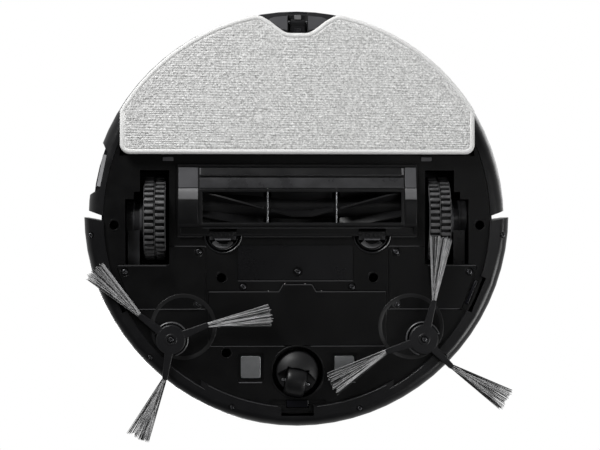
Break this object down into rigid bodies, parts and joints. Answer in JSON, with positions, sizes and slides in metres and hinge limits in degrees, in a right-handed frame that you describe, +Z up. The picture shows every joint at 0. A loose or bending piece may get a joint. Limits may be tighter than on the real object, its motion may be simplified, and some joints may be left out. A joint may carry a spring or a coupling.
{
  "type": "robot vacuum",
  "caption": "Round robot vacuum and mop: bumper shell, sprung drive wheels, caster, spinning side brushes, roller brush under a guard, sliding dust bin and mop pad module.",
  "frame": {"origin": "on the floor, midway between the two drive wheels, below the centre of the round body", "axes": "+Z up from the floor, +Y forward towards the bumper, +X to the robot's right"},
  "size_m": [0.3548, 0.349, 0.096],
  "materials": {
    "shell": "black, softly polished top cover, wall and bumper",
    "pan": "black, fine-grained underside plastic",
    "grey_plastic": "dark grey moulded plastic",
    "tread": "dark grey tread rubber",
    "soft_rubber": "black brush and wiper rubber",
    "bristle": "silver-grey nylon bristle bundles on dark arms",
    "pad_cloth": "off-white looped microfibre",
    "contact_metal": "satin charging contacts",
    "steel": "bright wire, pins and springs",
    "lens": "dark infrared window",
    "board": "green circuit board",
    "bin": "smoked dust bin",
    "paper": "pleated filter paper"
  },
  "bodies": {
    "chassis": {"base_pan": "pan", "side_ring": "shell", "top_cover": "shell", "battery_cover": "pan", "battery_pack": "grey_plastic", "cliff_window_front": "lens", "cliff_window_left": "lens", "cliff_window_right": "lens", "exhaust_grille": "grey_plastic", "brush_bay": "pan", "brush_motor": "steel", "brush_belt": "soft_rubber", "caster_socket": "pan", "fan_housing": "grey_plastic", "main_board": "board", "lidar_base": "pan", "turret_cap": "shell", "side_plate_left": "pan", "side_plate_right": "pan", "charge_contact_left": "contact_metal", "charge_contact_right": "contact_metal", "wheel_housing_left": "pan", "wheel_housing_right": "pan", "side_brush_motor_left": "grey_plastic", "side_brush_motor_right": "grey_plastic", "suspension_spring_left": "steel", "suspension_spring_right": "steel"},
    "bumper": {"bumper": "shell", "bumper_lens": "lens"},
    "main_brush": {"brush_core": "grey_plastic", "brush_fins": "soft_rubber"},
    "motor_shaft": {"motor_pulley": "steel"},
    "brush_guard": {"guard_frame": "grey_plastic", "guard_wire_left": "steel", "guard_wire_right": "steel", "wiper_strip": "soft_rubber"},
    "caster": {"caster_fork": "grey_plastic", "caster_axle": "steel"},
    "caster_wheel": {"caster_wheel": "tread"},
    "mop_module": {"mop_tank": "grey_plastic"},
    "mop_pad": {"mop_pad": "pad_cloth"},
    "tank_latch": {"tank_latch": "steel"},
    "dust_bin": {"dust_bin": "bin", "bin_filter": "paper"},
    "bin_button": {"bin_button": "grey_plastic"},
    "fan_wheel": {"impeller": "grey_plastic"},
    "lidar_rotor": {"lidar_rotor": "grey_plastic"},
    "power_button": {"power_button": "grey_plastic"},
    "home_button": {"home_button": "grey_plastic"},
    "wheel_arm_left": {"wheel_arm_left": "grey_plastic"},
    "drive_wheel_left": {"rim_left": "grey_plastic", "tyre_left": "tread"},
    "side_brush_left": {"side_brush_left": "bristle"},
    "guard_latch_left": {"guard_latch_left": "grey_plastic"},
    "wheel_arm_right": {"wheel_arm_right": "grey_plastic"},
    "drive_wheel_right": {"rim_right": "grey_plastic", "tyre_right": "tread"},
    "side_brush_right": {"side_brush_right": "bristle"},
    "guard_latch_right": {"guard_latch_right": "grey_plastic"}
  },
  "joints": [
    {"name": "bumper_travel", "type": "slide", "parent": "chassis", "child": "bumper", "axis": [0, -1, 0], "range_m": [0, 0.0035], "stiffness_N_per_m": 300, "springref_m": -0.004},
    {"name": "main_brush_spin", "type": "hinge", "parent": "chassis", "child": "main_brush", "pos_m": [0, -0.0099, 0.0215], "axis": [1, 0, 0], "continuous": true},
    {"name": "motor_spin", "type": "hinge", "parent": "chassis", "child": "motor_shaft", "pos_m": [0, 0.036, 0.033], "axis": [1, 0, 0], "continuous": true},
    {"name": "guard_pull", "type": "slide", "parent": "chassis", "child": "brush_guard", "axis": [0, 0, -1], "range_m": [0, 0.03]},
    {"name": "caster_swivel", "type": "hinge", "parent": "chassis", "child": "caster", "pos_m": [0, 0.1281, 0.02], "axis": [0, 0, 1], "continuous": true},
    {"name": "caster_roll", "type": "hinge", "parent": "caster", "child": "caster_wheel", "pos_m": [-0.00153, 0.13595, 0.0124], "axis": [0.9816, 0.1908, 0], "continuous": true},
    {"name": "mop_slide", "type": "slide", "parent": "chassis", "child": "mop_module", "axis": [0, -1, 0], "range_m": [0, 0.12]},
    {"name": "pad_pull", "type": "slide", "parent": "mop_module", "child": "mop_pad", "axis": [0, 0, -1], "range_m": [0, 0.02]},
    {"name": "tank_latch_press", "type": "hinge", "parent": "mop_module", "child": "tank_latch", "pos_m": [0, -0.1625, 0.009], "axis": [1, 0, 0], "range_deg": [0, 15], "stiffness_Nm_per_rad": 0.05, "springref_deg": -8.59},
    {"name": "bin_slide", "type": "slide", "parent": "chassis", "child": "dust_bin", "axis": [0, -1, 0], "range_m": [0, 0.085]},
    {"name": "bin_button_press", "type": "slide", "parent": "dust_bin", "child": "bin_button", "axis": [0, 1, 0], "range_m": [0, 0.0025], "stiffness_N_per_m": 300, "springref_m": -0.002},
    {"name": "fan_spin", "type": "hinge", "parent": "chassis", "child": "fan_wheel", "pos_m": [-0.112, -0.082, 0.034], "axis": [0, 0, 1], "continuous": true},
    {"name": "lidar_spin", "type": "hinge", "parent": "chassis", "child": "lidar_rotor", "pos_m": [0, -0.045, 0.075], "axis": [0, 0, 1], "continuous": true},
    {"name": "power_press", "type": "slide", "parent": "chassis", "child": "power_button", "axis": [0, 0, -1], "range_m": [0, 0.0008], "stiffness_N_per_m": 300, "springref_m": -0.001},
    {"name": "home_press", "type": "slide", "parent": "chassis", "child": "home_button", "axis": [0, 0, -1], "range_m": [0, 0.0008], "stiffness_N_per_m": 300, "springref_m": -0.001},
    {"name": "suspension_left", "type": "hinge", "parent": "chassis", "child": "wheel_arm_left", "pos_m": [-0.125, 0.048, 0.032], "axis": [1, 0, 0], "range_deg": [0, 20], "stiffness_Nm_per_rad": 0.2, "springref_deg": 34.38, "deforming": ["suspension_spring_left"]},
    {"name": "wheel_spin_left", "type": "hinge", "parent": "wheel_arm_left", "child": "drive_wheel_left", "pos_m": [-0.1185, 0, 0.035], "axis": [1, 0, 0], "continuous": true},
    {"name": "side_brush_spin_left", "type": "hinge", "parent": "chassis", "child": "side_brush_left", "pos_m": [-0.1048, 0.1004, 0.005], "axis": [0, 0, 1], "continuous": true},
    {"name": "guard_latch_slide_left", "type": "slide", "parent": "brush_guard", "child": "guard_latch_left", "axis": [0, -1, 0], "range_m": [0, 0.002], "stiffness_N_per_m": 200, "springref_m": -0.002},
    {"name": "suspension_right", "type": "hinge", "parent": "chassis", "child": "wheel_arm_right", "pos_m": [0.125, 0.048, 0.032], "axis": [1, 0, 0], "range_deg": [0, 20], "stiffness_Nm_per_rad": 0.2, "springref_deg": 34.38, "deforming": ["suspension_spring_right"]},
    {"name": "wheel_spin_right", "type": "hinge", "parent": "wheel_arm_right", "child": "drive_wheel_right", "pos_m": [0.1185, 0, 0.035], "axis": [1, 0, 0], "continuous": true},
    {"name": "side_brush_spin_right", "type": "hinge", "parent": "chassis", "child": "side_brush_right", "pos_m": [0.1048, 0.1004, 0.005], "axis": [0, 0, 1], "continuous": true},
    {"name": "guard_latch_slide_right", "type": "slide", "parent": "brush_guard", "child": "guard_latch_right", "axis": [0, -1, 0], "range_m": [0, 0.002], "stiffness_N_per_m": 200, "springref_m": -0.002}
  ],
  "couplings": [
    {"joint": "motor_spin", "follows": "main_brush_spin", "ratio": 1.6111}
  ]
}
